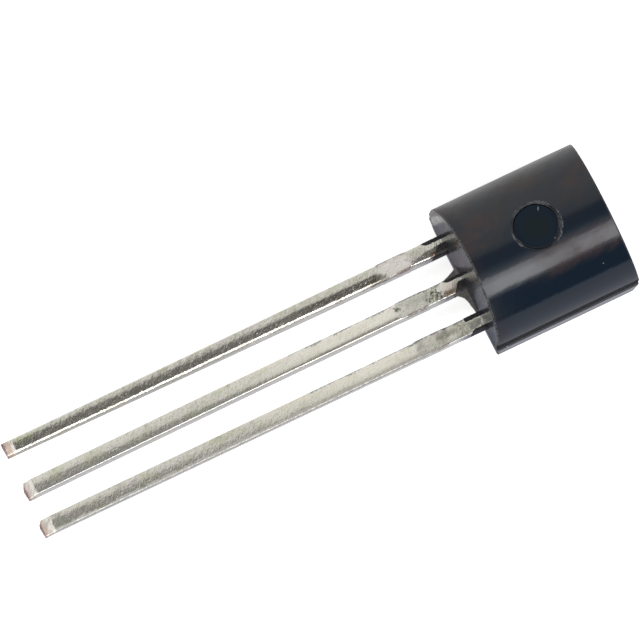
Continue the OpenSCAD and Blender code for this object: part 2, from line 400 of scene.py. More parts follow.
def resin(name):
    """Glossy blue-black moulding resin. A dusty film lies on it in smears, thickest towards +Y
    and on the shoulder towards -Y. The floor of the ejector mark is clean and leans a few
    degrees, its rim is scuffed grey in broken arcs that also paint the rim's highlights, and a few
    specks of dust stand on the back."""
    look, size = props("finishes"), props("case")
    g, at, x, y, z = paint(name)
    grain = g.noise(at, 0.045, detail=2.0)
    smear = g.noise(at, (0.9, 0.35, 0.6), 30.0, detail=4.0, rough=0.6)
    cloud = g.noise(at, (1.3, 0.8, 0.8), seat=(4.0, 1.0, 0.0))
    mottle = g.noise(at, (0.45, 0.28, 0.3), 30.0, (2.0, 9.0, 5.0), 4.0, 0.6)
    chips = g.noise(at, 0.09, 0.0, (7.0, 2.0, 4.0), 4.0, 0.7)

    reach = size.mark / 2 / MM
    x_mark = x - size.mark_offset / MM
    away = (x_mark * x_mark + y * y) ** 0.5
    above = g.step(z, 3.0, 3.2)
    disc = (1 - g.step(away, reach - 0.12, reach - 0.06)) * above
    centre = disc * (1 - g.step(away, 0.1, 0.6))
    bearing = g.math("ARCTAN2", y, x_mark) * (180 / math.pi)
    # The broken arcs of the rim: grey wear and painted highlights of the rim together.
    arcs = g.step(bearing, 172, 180) + (1 - g.step(bearing, -150, -138))
    for first, last, strength in ((-58, 8, 1.0), (36, 84, 0.8), (100, 132, 0.6)):
        arcs = arcs + g.band(bearing, first, last, 8) * strength
    broken = g.step(g.noise(at, 0.11, rough=0.7), 0.4, 0.62)
    ring = g.band(away, reach - 0.11, reach + 0.005, 0.02) * above
    # Scuffed rim in those arcs, which also paints the rim's highlights.
    scuff_and_highlight = g.band(away, reach - 0.065, reach + 0.018, 0.012) * above * arcs * broken

    film = g.step(y, -0.6, 0.5) * 0.8 * g.step(smear, 0.28, 0.7) * (1 - disc)
    warm = g.step(cloud, 0.47, 0.62) * g.step(y, -0.7, 0.2) * (1 - disc) * 0.9
    rubbed = g.step(x + y * 0.8 + (cloud - 0.5) * 2.0, -1.9, -0.9) * g.band(
        y + (smear - 0.5) * 0.3, -1.42, -0.72, 0.12)
    rubbed = rubbed * (0.55 + g.step(smear, 0.42, 0.62) * 0.45)

    inset = size.length / 2 / MM - g.math("ABSOLUTE", x)
    inset = inset - math.tan(size.back_draft) * g.math("MAXIMUM", z - LEAD_HI.z / MM)
    inset = inset - math.tan(size.front_draft) * g.math("MAXIMUM", LEAD_LO.z / MM - z)
    end = 1 - g.step(inset, 0.02, 0.04)
    chipped = g.band(inset + (chips - 0.5) * 0.06, 0.014, 0.055, 0.012) * g.step(chips, 0.45, 0.55)
    chipped = chipped * (1 - g.step(x, 0, 1) * 0.75)

    speck = g.node("TexVoronoi", {"Vector": at, "Scale": 1.35}, feature="F1").outputs["Distance"]
    dust = (1 - g.step(speck, 0.028, 0.05)) * g.step(smear, 0.5, 0.56)
    for x0, y0, thin in ((0.28, 0.46, 0.35), (0.33, -0.54, 0.8)):
        off_x, off_y = x_mark - x0 - (y - y0) * 0.46, (y - y0) * thin
        off = (off_x * off_x + off_y * off_y) ** 0.5
        dust = dust + (1 - g.step(off, 0.008, 0.028)) * above * 0.7

    tone = g.coats(
        look.resin, (film, look.haze), (warm, (0.034, 0.022, 0.022)),
        (rubbed * 0.6, (0.034, 0.024, 0.026)), (ring * 0.85, (0.010, 0.013, 0.019)),
        (scuff_and_highlight, (0.12, 0.128, 0.145)), (centre * 0.6, (0.009, 0.015, 0.012)),
        (chipped * 0.75, (0.11, 0.11, 0.11)), (dust, (0.25, 0.25, 0.24)))
    hidden = rubbed * (0.36 + g.band(x, -0.4, 1.0, 0.4) * 0.28) + warm * 0.12
    hidden = hidden + film * (g.step(mottle, 0.42, 0.6) * 0.2 - 0.06)
    hidden = hidden + (1 - g.step(x, -2.28, -1.6)) * (1 - end) * 0.22
    hidden = hidden + end * (0.05 + (chips - 0.5) * 0.7)
    relief = grain * 0.0006 + scuff_and_highlight * broken * 0.02 + y * disc * 0.13 + smear * 0.005
    relief = relief + end * chips * 0.003 + chipped * chips * 0.012
    return g.surface(
        (hidden, (0.045, 0.034, 0.036)), base_color=tone, normal=g.bump(relief), ior=1.5,
        roughness=look.resin_roughness + film * 0.06 + dust * 0.3 + (scuff_and_highlight + chipped) * 0.35)


def broken_resin(name, lumps, limits, tone, fleck, roughness, relief, **sockets):
    """Resin with a broken surface, with flecks of another tone where its lumps pass the two
    limits. The lumps are given by their size, detail and roughness, as noise is."""
    g, at, *_ = paint(name)
    size, detail, rough = lumps
    torn = g.noise(at, size, detail=detail, rough=rough)
    tone = g.coats(tone, (g.step(torn, *limits) * 0.6, fleck))
    return g.surface(
        base_color=tone, roughness=roughness, ior=1.5, normal=g.bump(torn * relief), **sockets)


def land_resin(name):
    """Dull broken resin of the parting land, which hardly shines."""
    return broken_resin(
        name, ((0.12, 0.06, 0.05), 4.0, 0.7), (0.52, 0.66), (0.007, 0.008, 0.010),
        (0.045, 0.042, 0.045), 0.6, 0.02, specular_ior_level=0.12)


def skin_resin(name):
    """Thin black skin of resin along the leads' edges, with brown where it is thinnest."""
    return broken_resin(
        name, (0.06, 3.0, 0.65), (0.54, 0.68), (0.006, 0.006, 0.007), (0.06, 0.042, 0.032),
        0.4, 0.015)


def torn_resin(name):
    """Torn resin of the webs, mottled with greenish and violet flecks."""
    look = props("finishes")
    g, at, *_ = paint(name)
    torn = g.noise(at, 0.07, detail=4.0, rough=0.7)
    hue = g.noise(at, 0.13, seat=(3.0, 5.0, 1.0), detail=2.0)
    tone = g.coats(
        tuple(0.45 * c for c in look.torn), (g.step(torn, 0.4, 0.62), look.torn),
        (g.step(hue, 0.56, 0.66) * 0.5, (0.10, 0.12, 0.06)),
        ((1 - g.step(hue, 0.34, 0.44)) * 0.5, (0.08, 0.065, 0.10)))
    return g.surface(base_color=tone, roughness=0.55, ior=1.5, normal=g.bump(torn * 0.02))


def tin(name, lead, middle, stains_and_painted_light):
    """Tin plating over copper on the lead whose middle line is given. Streaks run along the lead,
    scratches cross it aslant, pits and lumps speckle it, most towards the end, and olive and rose
    tints drift over it. The -Y edge and side face are painted a darker grey as painted shade. The
    bevel at the end is bright inside and wiped to copper outside. Each mark is a box of distances
    from the case and from the middle line with ragged edges, its tone, its strength, how speckled
    it is and how dull. Most marks are stains; others paint highlights, shade and a dark
    reflection."""
    look, seed, (grit, grit_end) = props("finishes"), lead["seed"], lead["grit"]
    g, at, x, y, z = paint(name)
    seat = (seed * 3.7, seed * 1.3, seed * 0.9)
    streak = g.noise(at, (0.7, 0.05, 0.05), 0.0, seat, 4.0, 0.6)
    scratch = g.noise(at, (0.40, 0.05, 0.3), 58.0, seat, 3.0, 0.6)
    pit = g.noise(at, 0.07, 0.0, seat, 3.0, 0.7)
    lump = g.noise(at, (0.16, 0.09, 0.1), 62.0, (seed * 2.3, 1.0, 3.0), 2.0, 0.6)
    dent = g.noise(at, (0.35, 0.17, 0.2), 35.0, seat, 3.0, 0.6)
    tint = g.noise(at, (0.8, 0.3, 0.4), 20.0, seat, 4.0, 0.65)
    blush = g.noise(at, (1.1, 0.35, 0.4), -10.0, (seed * 1.1, 2.0, 5.0), 4.0, 0.6)

    off, side = CASE_LO_X / MM - x, y - middle / MM
    tone = g.coats(
        look.tin, (g.step(tint, 0.48, 0.66) * 0.9, look.olive),
        (g.step(blush, 0.53, 0.68) * 0.85, look.rose),
        (g.step(pit, 0.50, 0.68) * 0.5, (0.42, 0.41, 0.33)),
        (g.step(lump, 0.54, 0.70) * 0.4, (0.44, 0.42, 0.36)),
        (g.step(scratch, 0.55, 0.68) * 0.5, (0.97, 0.96, 0.92)),
        # Painted shade: the -Y edge and side face are painted a darker grey, as where they mirror
        # the shaded floor.
        ((1 - g.step(side, -0.225, -0.185)) * 0.7, (0.79, 0.78, 0.76)))

    ragged_off = off + (dent - 0.5) * 0.5 + (tint - 0.5) * 0.4 + (pit - 0.5) * 0.1
    ragged_side = side + (tint - 0.5) * 0.3 + (scratch - 0.5) * 0.12 + (pit - 0.5) * 0.1
    speckle = g.step(pit * 0.6 + scratch * 0.4, 0.46, 0.54)
    upper = g.step(z, LEAD_HI.z / MM - 0.2, LEAD_HI.z / MM - 0.11)
    dull = 0.0
    for off0, off1, side0, side1, soft, shade, strength, speckled, rough in stains_and_painted_light:
        mask = g.band(ragged_off, off0, off1, soft) * g.band(ragged_side, side0, side1, soft)
        mask = mask * upper * strength * (1 - speckled + speckle * speckled)
        tone = g.coats(tone, (mask, shade))
        dull = mask * rough + dull

    out = x - LEAD_LO.x / MM - lead["tip"][2]
    bevel = 1 - g.step(out + (dent - 0.5) * 0.12, 0.30, 0.36)
    lip = g.band(out + (lump - 0.5) * 0.16, 0.22, 0.34, 0.04)
    reach = lead["wiped"]
    wiped = 1 - g.step(out + (pit - 0.5) * 0.14 + (tint - 0.5) * 0.1, reach - 0.05, reach + 0.04)
    cut = 1 - g.step(out + (pit - 0.5) * 0.06, 0.04, 0.08)
    tone = g.coats(
        tone, (bevel, (0.71, 0.66, 0.61)),
        (g.step(lump, 0.46, 0.58) * bevel * 0.6, (0.62, 0.60, 0.52)),
        (lip * 0.8, (0.88, 0.86, 0.79)), (wiped * 0.85, look.copper),
        (bevel * g.step(scratch, 0.5, 0.6) * 0.5, (0.46, 0.39, 0.35)),
        (cut * 0.85, (0.30, 0.19, 0.20)))
    worn = g.step(off + (tint - 0.5) * 5.0, 4.0, 8.5)
    relief = pit * 0.004 + lump * 0.013 + scratch * 0.007 + dent * 0.012 + streak * 0.002
    relief = relief * (grit + worn * (grit_end - grit))
    return g.surface(
        base_color=tone, metallic=1.0, normal=g.bump(relief),
        roughness=lead["polish"] + (tint - 0.5) * 0.2 + dull + bevel * 0.1)


def plain_metal(name, rgb, roughness, metallic=1.0, size=0.033, height=0.0004):
    """A bright metal or polished crystal with fine grain in its tone and its surface."""
    g, at, *_ = paint(name)
    grain = g.noise(at, size)
    tone = g.coats(tuple(0.85 * c for c in rgb), (grain, tuple(min(1.0, 1.1 * c) for c in rgb)))
    return g.surface(base_color=tone, metallic=metallic, roughness=roughness + grain * 0.1,
                     normal=g.bump(grain * height))


# ---------------------------------------------------------------- the case

# Points and cells of the case's grid: along its flat face, up a side, up the parting land, round
# a quarter of the back, from the crest to the border of the ejector mark, and on to each end.
FLAT_POINTS, SIDE_POINTS, LAND_POINTS, BACK_STEPS, MARK_CELLS = 25, 7, 5, 60, 17
LEAD_END_CELLS, FAR_END_CELLS = 16, 14
MARK_BORDER = 0.98 * MM  # from the ejector mark's centre to its border along the case
ROUND_STEPS = 6  # points of a quarter round on an edge


def end_reach(z, size):
    """Half the case's length at height z: the flat face's chamfer, the front half's draft, the
    sunk land and the back's draft, joined by straight lines."""
    low, high, crest = LEAD_LO.z, LEAD_HI.z, CASE_HI.z
    half, c, sunk = size.length / 2, size.chamfer, size.land_depth
    foot = half - low * math.tan(size.front_draft)
    heights = [0, c, low, low + sunk, high - sunk, high, crest]
    reach = [
        foot - c, foot + c * math.tan(size.front_draft), half, half - sunk, half - sunk, half,
        half - (crest - high) * math.tan(size.back_draft),
    ]
    return np.interp(z, heights, reach)


def case_outline(size):
    """The case's outline across the leads, as Y and Z: the flat face from -Y to +Y, the chamfer,
    the leaning side, the sunk land and a quarter circle up to the crest, and the same mirrored
    back down."""
    low, high, radius = LEAD_LO.z, LEAD_HI.z, size.width / 2
    c, sunk, flat = size.chamfer, size.land_depth, size.flat_width / 2
    lean = (radius - flat) / low
    foot = np.array([flat - c, 0.0])
    side = [
        foot,
        *np.linspace([flat + c * lean, c], [radius, low], SIDE_POINTS),
        [radius - sunk, low + sunk],
        *np.linspace([radius - sunk, low + sunk], [radius - sunk, high - sunk], LAND_POINTS)[1:],
    ]
    a = np.linspace(0, np.pi / 2, BACK_STEPS + 1)
    back = np.stack([radius * np.cos(a), high + radius * np.sin(a)], -1)
    side = np.concatenate([np.array(side), back])
    side[-1, 0] = 0.0
    bottom = np.linspace(foot * [-1, 1], foot, FLAT_POINTS)
    return np.concatenate([bottom, side[1:], side[1:-1][::-1] * [-1, 1]])


def inward(loop):
    """Unit vectors that point into a closed line that runs anticlockwise: its chord between the
    neighbours, turned a quarter to the left."""
    chord = unit(np.roll(loop, -1, axis=0) - np.roll(loop, 1, axis=0))
    return np.column_stack([-chord[:, 1], chord[:, 0]])


def case_patches(size):
    """The case as patches. The side is the outline carried from end to end, each point to its own
    reach less the edge radius. At each end a quarter round takes it in by e(1 - cos a) while it
    goes out by e sin a, and the end face is straight lines across from side to side. On the crest
    a square block of cells is left out for the ejector mark."""
    loop = case_outline(size)
    normal, e = inward(loop), size.edge
    crest_at = FLAT_POINTS + SIDE_POINTS + LAND_POINTS + BACK_STEPS
    above, below = crest_at - MARK_CELLS, crest_at + MARK_CELLS
    left, right = LEAD_END_CELLS, LEAD_END_CELLS + 2 * MARK_CELLS
    reach = end_reach(loop[:, 1], size) - e
    mid = end_reach(CASE_HI.z, size) - e
    u0, u1 = ((size.mark_offset + way * MARK_BORDER) / mid for way in (-1, 1))
    u = np.concatenate([
        np.linspace(-1, u0, LEAD_END_CELLS + 1)[:-1], np.linspace(u0, u1, 2 * MARK_CELLS + 1),
        np.linspace(u1, 1, FAR_END_CELLS + 1)[1:],
    ])
    side = np.concatenate([
        (reach[:, None] * u)[..., None], np.repeat(loop[:, None], len(u), axis=1)], -1)
    keep = np.ones((len(loop), len(u) - 1), bool)
    keep[above:below, left:right] = False
    patches = [patch(side, wrap_rows=True, keep=keep)]

    a = np.linspace(0, np.pi / 2, ROUND_STEPS)[:, None]
    inset = loop + normal * (e * (1 - np.cos(a)))[..., None]
    out = end_reach(inset[..., 1], size) - e * (1 - np.sin(a))
    rim = inset[-1]
    plus_side = rim[FLAT_POINTS - 1:crest_at + 1]
    minus_side = np.concatenate([rim[:1], rim[crest_at:][::-1]])
    rows = np.linspace(minus_side, plus_side, FLAT_POINTS, axis=1)
    rows[0] = rim[:FLAT_POINTS]
    for sign in (-1, 1):
        patches.append(patch(np.concatenate([sign * out[..., None], inset], -1), wrap_cols=True))
        x = sign * end_reach(rows[..., 1], size)
        patches.append(patch(np.concatenate([x[..., None], rows], -1)))

    block = side[above:below + 1, left:right + 1]
    border = np.concatenate([block[:-1, 0], block[-1, :-1], block[:0:-1, -1], block[0, :0:-1]])
    return patches + mark_patches(border[:, :2], size)


def mark_patches(border, size):
    """The ejector mark inside a square border on the round back. The skin round it moves from the
    border to a circle in straight lines, at the height axis + sqrt(R^2 - y^2). A worn rim of a
    quarter round, a wall and a flat floor follow, as rings about the mark's centre."""
    radius, axis, floor = size.width / 2, LEAD_HI.z, CASE_HI.z - size.mark_depth
    wander, fray, fillet, foot = (v * MM for v in (0.022, 0.008, 0.012, 0.02))
    centre = np.array([size.mark_offset, 0.0])
    away = border - centre
    theta = np.arctan2(away[:, 1], away[:, 0])
    turn = theta / (2 * np.pi)
    way = np.stack([np.cos(theta), np.sin(theta)], -1)

    def back(xy):
        return axis + np.sqrt(radius**2 - xy[..., 1] ** 2)

    wall = size.mark / 2 - size.mark_rim + (
        wander * waves(turn, 5, 6, 2, 6) + fray * waves(turn, 6, 9, 8, 24))
    depth = back(centre + way * wall[:, None]) - floor
    rim = np.minimum(size.mark_rim * (1 + 0.3 * waves(turn, 8, 7, 2, 12)), 0.62 * depth)
    outer = centre + way * (wall + rim)[:, None]
    skin = np.linspace(border, outer, 14)
    rings = [np.concatenate([skin, back(skin)[..., None]], -1)]

    a = np.linspace(0, np.pi / 2, ROUND_STEPS)[1:, None]
    xy = centre + way * (wall + rim * (1 - np.sin(a)))[..., None]
    z = back(xy) - rim * (1 - np.cos(a))
    rings.append(np.concatenate([xy, z[..., None]], -1))
    reach = np.concatenate([[wall - foot / 5], np.linspace(1, 0, 8)[:, None] * (wall - foot)])
    z = np.full(reach.shape, floor)
    z[0] += fillet
    rings.append(np.concatenate([centre + way * reach[..., None], z[..., None]], -1))
    return [patch(np.concatenate(rings), wrap_cols=True)]


def web_patches(points, side, seed, low, high):
    """A torn web in the corner between the case and the middle lead. Its free edge is straight
    runs through the given points, rounded by a running mean and frayed by small waves. Each point
    of it is joined in a straight line to its own on the hidden edge, which runs under the lead
    and behind the case's face, and the sheet is raised from low to high."""
    p, t, window = np.array(points) * MM, np.linspace(0, 1, 46), 7
    fray, behind, under = 0.012 * MM, 0.1 * MM, p[0, 1] - 0.08 * MM

    def along(line):
        way = way_along(line)
        return np.stack([np.interp(t * way[-1], way, line[:, k]) for k in (0, 1)], -1)

    curve = along(p)
    free = np.stack([np.convolve(np.pad(curve[:, k], window // 2, mode="edge"),
                                 np.full(window, 1 / window), "valid") for k in (0, 1)], -1)
    free[0], free[-1] = curve[0], curve[-1]
    free = free + (fray * waves(t, seed, 8, 3, 18) * np.sin(np.pi * t))[:, None]
    hidden = along(np.array([[p[0, 0], under], [behind, under], [behind, p[-1, 1]]]))
    sheet = np.linspace(free, hidden, 4) * [1, side] + [CASE_LO_X, 0]
    loop = np.concatenate([sheet[0], sheet[1:-1, -1], sheet[-1, ::-1], sheet[-2:0:-1, 0]])
    wall = [np.column_stack([loop, np.full(len(loop), z)]) for z in (low, high)]
    caps = [np.concatenate([sheet, np.full((*sheet.shape[:2], 1), z)], -1) for z in (low, high)]
    return [patch(np.stack(wall), wrap_cols=True)] + [patch(cap) for cap in caps]


# ---------------------------------------------------------------- the leads


def dam_bar(lead):
    """Where the square stretch that the dam bar was cut from starts and ends."""
    near = CASE_LO_X - lead.dam_start
    return near - lead.dam_length, near


def lead_stations(stop, lead):
    """Places along a lead, closest together at its end, its bevel and the cut dam bar."""
    far, near = dam_bar(lead)
    end, beside = LEAD_LO.x, 0.15 * MM
    places = [end, end + 0.5 * MM, far - beside, far + beside, near - beside, near + beside,
              CASE_LO_X + 0.1 * MM, stop]
    runs = [np.linspace(a, b, count, endpoint=False) for a, b, count in zip(
        places, places[1:], (26, 190, 13, 14, 13, 22, 6))]
    return np.concatenate([*runs, [stop]])


# How each lead was cut, rolled and bent, with lengths in mm. place: its side of the middle.
# seed: of its waves. edge: the radius of its +Y back edge against the nominal one. bow: how round
# its back is, in 1/mm. bend: how far its end stands aside. tip: how far its end is set back at +Y,
# the place of its foremost point, and how far that point and the -Y side are set back. polish: its
# roughness. wiped: how far the copper reaches. grit: its relief near the case and at its end.
# plates: where the plates inside the case start, their length and their width. A row of its form:
# the way from its end to the case, the roll of its sides in degrees, the slope of its back face on
# the +Y side in degrees, by how much more it slopes on the -Y side, the place and the softness of
# the knee between the two, the width and the radius of the -Y edge against the nominal ones.
LEADS = {
    "base": dict(
        place=1, seed=3, edge=1.0, bow=0.2, bend=0.04, tip=(0.10, 0.8, 0.09, 0.12), polish=0.16,
        wiped=0.24, grit=(0.9, 1.0), plates=[(-1.0, 0.85, 0.95)],
        form=[(0.0, 13, -2, 10, 0.115, 0.015, 0.94, 3.25),
              (0.085, 12, -2, 10, 0.12, 0.015, 0.95, 3.25),
              (0.38, 7, -1, 9, 0.092, 0.035, 1, 2.95), (0.59, 1, -2, 10.5, 0.034, 0.03, 1, 2.6),
              (0.76, -7, -3, 14, 0.004, 0.012, 1, 1.75), (0.85, -6, -3, 13, 0.0, 0.012, 1, 1.5),
              (0.918, -6, -3, 11, -0.2, 0.02, 1, 1.2), (0.94, -6, -3, 12, -0.1, 0.02, 1, 1.2),
              (0.965, -6, -3, 12, -0.02, 0.02, 1, 1.2),
              (1.0, -6, -3, 11, 0.0, 0.02, 1, 1.2)]),
    "collector": dict(
        place=0, seed=17, edge=0.75, bow=0.25, bend=-0.05, tip=(0.165, 0.3, 0.09, 0.125),
        polish=0.24, wiped=0.10, grit=(0.4, 0.8), plates=[(0.2, 1.6, 2.4), (-2.1, 0.58, 0.9)],
        form=[(0.0, -2, -6, 10, 0.05, 0.02, 1, 0.6), (0.085, -2, -6, 10, 0.05, 0.02, 1, 0.7),
              (0.38, -2, -5, 11, -0.07, 0.04, 1, 0.85), (0.59, -2, -8, 13, -0.152, 0.025, 1, 0.9),
              (0.76, -2, -13, 17, -0.12, 0.018, 1, 0.9), (0.85, -2, -12, 15, -0.12, 0.018, 1, 0.9),
              (0.93, -2, -8, 10, -0.22, 0.03, 1, 0.9), (0.965, -2, -6, 13, -0.09, 0.03, 1, 0.9),
              (1.0, -2, -6, 13, -0.08, 0.03, 1, 0.9)]),
    "emitter": dict(
        place=-1, seed=29, edge=0.5, bow=0.15, bend=0.01, tip=(0.13, 0.5, 0.035, 0.07),
        polish=0.24, wiped=0.14, grit=(0.4, 0.85), plates=[(-1.0, 0.85, 0.95)],
        form=[(0.0, 6, -6, 12, 0.12, 0.03, 1, 0.9), (0.085, 6, -6, 12, 0.12, 0.03, 1, 1.3),
              (0.38, 6, -6, 11, 0.0, 0.09, 1, 1.3), (0.59, 5, -8, 12, -0.06, 0.06, 1, 1.2),
              (0.76, 2.5, -13, 17, -0.095, 0.04, 1, 1.0), (0.85, 1, -12, 15, -0.1, 0.04, 1, 0.7),
              (0.93, 0, -7, 8, -0.15, 0.04, 1, 0.4), (1.0, 0, -6, 6, -0.15, 0.04, 1, 0.4)]),
}

# Points of a lead's outline: round a corner, and between corners on its back and its front face.
ROUND, BACK, FRONT = 9, 23, 5
SHARP = 0.012 * MM  # radius of the back edges where the dam bar was


def lead_surface(lead, look, x):
    """A lead's outline at each place x, as Y and Z. Each point is a corner's centre plus its
    radius at an angle: two rolled back edges, two crisp front ones, and straight lines between
    them. The outline is turned by the roll about its middle. The back face, once turned, has two
    slopes with a knee between them: its height is a p - b s ln(1 + e^((k - p) / s)) less half the
    bow times p squared. The lead bends sideways with the square of the distance from the case."""
    end, thick = LEAD_LO.x, LEAD_HI.z - LEAD_LO.z
    way = (x - end) / (CASE_LO_X - end)
    form = np.array(look["form"], float)
    roll, slope, more, knee, soft, wide, round_edge = (
        np.interp(way, form[:, 0], form[:, k])[:, None] for k in range(1, 8))
    # of each point of the outline: its angle, its place across from -Y to +Y, and 1 on the back
    quarter = np.pi / 2
    arcs = [np.linspace(k * quarter, (k + 1) * quarter, ROUND) for k in range(4)]
    a = np.concatenate([arcs[0], np.full(BACK, quarter), arcs[1], arcs[2],
                        np.full(FRONT, 3 * quarter), arcs[3]])
    f = np.concatenate([
        np.ones(ROUND), np.linspace(1, -1, BACK + 2)[1:-1], -np.ones(2 * ROUND),
        np.linspace(-1, 1, FRONT + 2)[1:-1], np.ones(ROUND)])
    upper = np.repeat([1.0, 0.0], [2 * ROUND + BACK, 2 * ROUND + FRONT])

    far, near = dam_bar(lead)

    def at_dam(before, after, inside):
        """1 where the dam bar was and 0 away from there, with a ramp at either end."""
        ramps = (smooth_step(x, far - before * MM, far + inside * MM),
                 1 - smooth_step(x, near - inside * MM, near + after * MM))
        return (ramps[0] * ramps[1])[:, None]

    dam, level = at_dam(0.06, 0.06, 0.03), 0.9 * at_dam(0.2, 0.22, 0.05)
    plus, minus = (
        upper * (lead.edge * k * (1 - dam) + SHARP * dam) + (1 - upper) * lead.front_edge
        for k in (look["edge"], round_edge))
    radius = np.where(f > 0, plus, minus)
    frayed = 0.0022 * MM * waves(way, look["seed"], 9, 20, 90)[:, None]
    broad = lead.width / 2 * wide + lead.dam_stub * dam + frayed
    p = ((broad - plus) * (1 + f) - (broad - minus) * (1 - f)) / 2 + radius * np.cos(a)
    q = upper * (thick - radius) + (1 - upper) * lead.front_edge + radius * np.sin(a)
    turned, middle = np.radians(roll), thick / 2
    rise = np.radians(slope) * p - 0.5 * look["bow"] / MM * p**2 - p * np.tan(turned)
    rise = rise - np.radians(more) * soft * MM * np.logaddexp(0, (knee * MM - p) / (soft * MM))
    q = q - (rise.max(axis=1, keepdims=True) - rise) * (1 - level) * q / thick
    sloped = np.clip((lead.bevel_length - (x - end)) / lead.bevel_length, 0, None)[:, None]
    q = q * (1 - sloped * lead.bevel_depth / thick)

    y = p * np.cos(turned) - (q - middle) * np.sin(turned)
    z = middle + p * np.sin(turned) + (q - middle) * np.cos(turned)
    y = y + look["place"] * lead.pitch + look["bend"] * MM * (1 - np.clip(way[:, None], 0, 1)) ** 2
    upper_back, foremost, least, lower_back = look["tip"]
    back = np.interp(f[None] * np.ones_like(p), [-1, foremost, 1],
                     [lower_back * MM, least * MM, upper_back * MM])
    back = back * (1 - smooth_step(x, end, end + 0.45 * MM))[:, None]
    return np.stack([x[:, None] + back, y, LEAD_LO.z + z], -1)


def lead_patches(lead, look, stop):
    """A lead as one tube through its outlines, closed at both ends."""
    tube = lead_surface(lead, look, lead_stations(stop, lead))
    return [patch(tube, wrap_cols=True), filled_loop(tube[0], 5), filled_loop(tube[-1], 2)]


def skin_patches(lead, look, side, full, tip, inner, square, seed):
    """A skin of resin over one edge of a lead. Along the lead it runs from the case to its tip.
    Across, it follows the lead's outline from the lower corner up the side and over the back face
    as far as the inner line, which eases out to the edge between full and tip, and is frayed by
    small waves. It stands off by t(1 - (2q - 1)^6), q running over its width."""
    thick, sunk, start, root = 0.012 * MM, 0.01 * MM, 0.02 * MM, look["place"] * lead.pitch
    fray, inside, over = 0.018, 0.08, 0.262  # in mm: waves, its start in the case, lead's edge
    outline = lead_surface(lead, look, np.array([CASE_LO_X]))[0, :, 1:]
    if side > 0:
        run = np.concatenate([outline[-3:], outline[:ROUND + BACK]])
    else:
        run = outline[ROUND:2 * ROUND + BACK + 3][::-1]
    along = way_along(run)
    corner = np.argmax(side * (run[:, 0] - root))
    top_y = side * (run[corner:, 0] - root)
    t, q = np.linspace(0, 1, 56), np.linspace(0, 1, 17)
    off = (inside + tip) * t - inside
    ease = smooth_step(off, tip - 0.02 if square else full, tip)
    edge = (inner + fray * waves(t, seed, 8, 2, 14)) * (1 - ease) + over * ease
    reach = np.interp(edge * MM, top_y[::-1], along[corner:][::-1])
    s = start + (reach[:, None] - start) * q
    y, z = (np.interp(s, along, run[:, k]) for k in (0, 1))
    chord = unit(np.gradient(run, axis=0))
    away = np.column_stack([chord[:, 1], -chord[:, 0]]) * side
    ny, nz = (np.interp(s, along, away[:, k]) for k in (0, 1))
    rise = thick * (1 - (2 * q - 1) ** 6) * (1 - 0.9 * ease)[:, None]
    rise = rise * (1 + 0.4 * waves(off / 0.7, seed + 2, 7, 3, 15))[:, None]
    x = np.repeat((CASE_LO_X - off * MM)[:, None], len(q), axis=1)
    outer, inner_face = (np.stack([x, y + ny * h, z + nz * h], -1) for h in (rise, -sunk))
    loop = np.concatenate([outer, inner_face[:, ::-1]], axis=1)
    ends = [patch(np.stack([outer[k], inner_face[k]])) for k in (0, -1)]
    return [patch(loop, wrap_cols=True), *ends]


# ---------------------------------------------------------------- operators


class BuildCase(bpy.types.Operator):
    """Moulded case with its parting land and ejector mark"""

    bl_idname = "transistor.case"
    bl_label = "Case"

    def execute(self, context):
        size = props("case")
        low, high = LEAD_LO.z + 0.14 * MM, LEAD_HI.z + 0.18 * MM

        def on_land(at):
            """On a side between the two heights, or beside the edge radius on an end."""
            x, y, z = abs(at).T
            outside = y - size.width / 2
            return (z > low) & (z < high) & ((outside > -0.03 * MM) | (
                x > size.length / 2 - 0.02 * MM) & (outside > -0.07 * MM))

        piece = shell("moulded_case", case_patches(size), resin("glossy_resin"), 24,
                      land_resin("parting_land"), on_land)
        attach(piece, ROOT)
        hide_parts("case")
        return {"FINISHED"}


class BuildFlash(bpy.types.Operator):
    """Thin resin skins along the leads and the torn webs beside the middle one"""

    bl_idname = "transistor.flash"
    bl_label = "Flash and webs"

    # for each lead, the skins on its sides: the side, how far out the skin is whole, its tip, its
    # inner line from the lead's middle, and whether it ends square
    skins = {
        "base": [(1, 0.44, 0.68, 0.15, False), (-1, 0.12, 0.50, -0.03, False)],
        "collector": [(1, 0.40, 0.62, 0.155, False), (-1, 0.10, 0.42, -0.06, False)],
        "emitter": [(1, 0.48, 0.50, 0.125, True), (-1, 0.30, 0.52, 0.175, False)],
    }
    webs = {
        "base_web": (1, [(-0.52, 0.25), (-0.28, 0.34), (-0.08, 0.43), (-0.015, 0.52),
                         (0, 0.62)], 31),
        "emitter_web": (-1, [(-0.43, 0.25), (-0.32, 0.31), (-0.17, 0.45), (-0.12, 0.6),
                             (-0.09, 0.8), (-0.06, 0.96), (0, 1.0)], 37),
    }

    def execute(self, context):
        lead = props("leads")
        skin, torn = skin_resin("resin_skin"), torn_resin("torn_resin")
        for name, strips in self.skins.items():
            look, patches = LEADS[name], []
            for k, strip in enumerate(strips):
                patches += skin_patches(lead, look, *strip, 11 + 7 * look["seed"] + k)
            piece = shell(name + "_flash", patches, skin)
            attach(piece, ROOT)
        low, high = LEAD_HI.z - 0.15 * MM, LEAD_HI.z - 0.03 * MM
        for name, (side, points, seed) in self.webs.items():
            piece = shell(name, web_patches(points, side, seed, low, high), torn)
            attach(piece, ROOT)
        return {"FINISHED"}


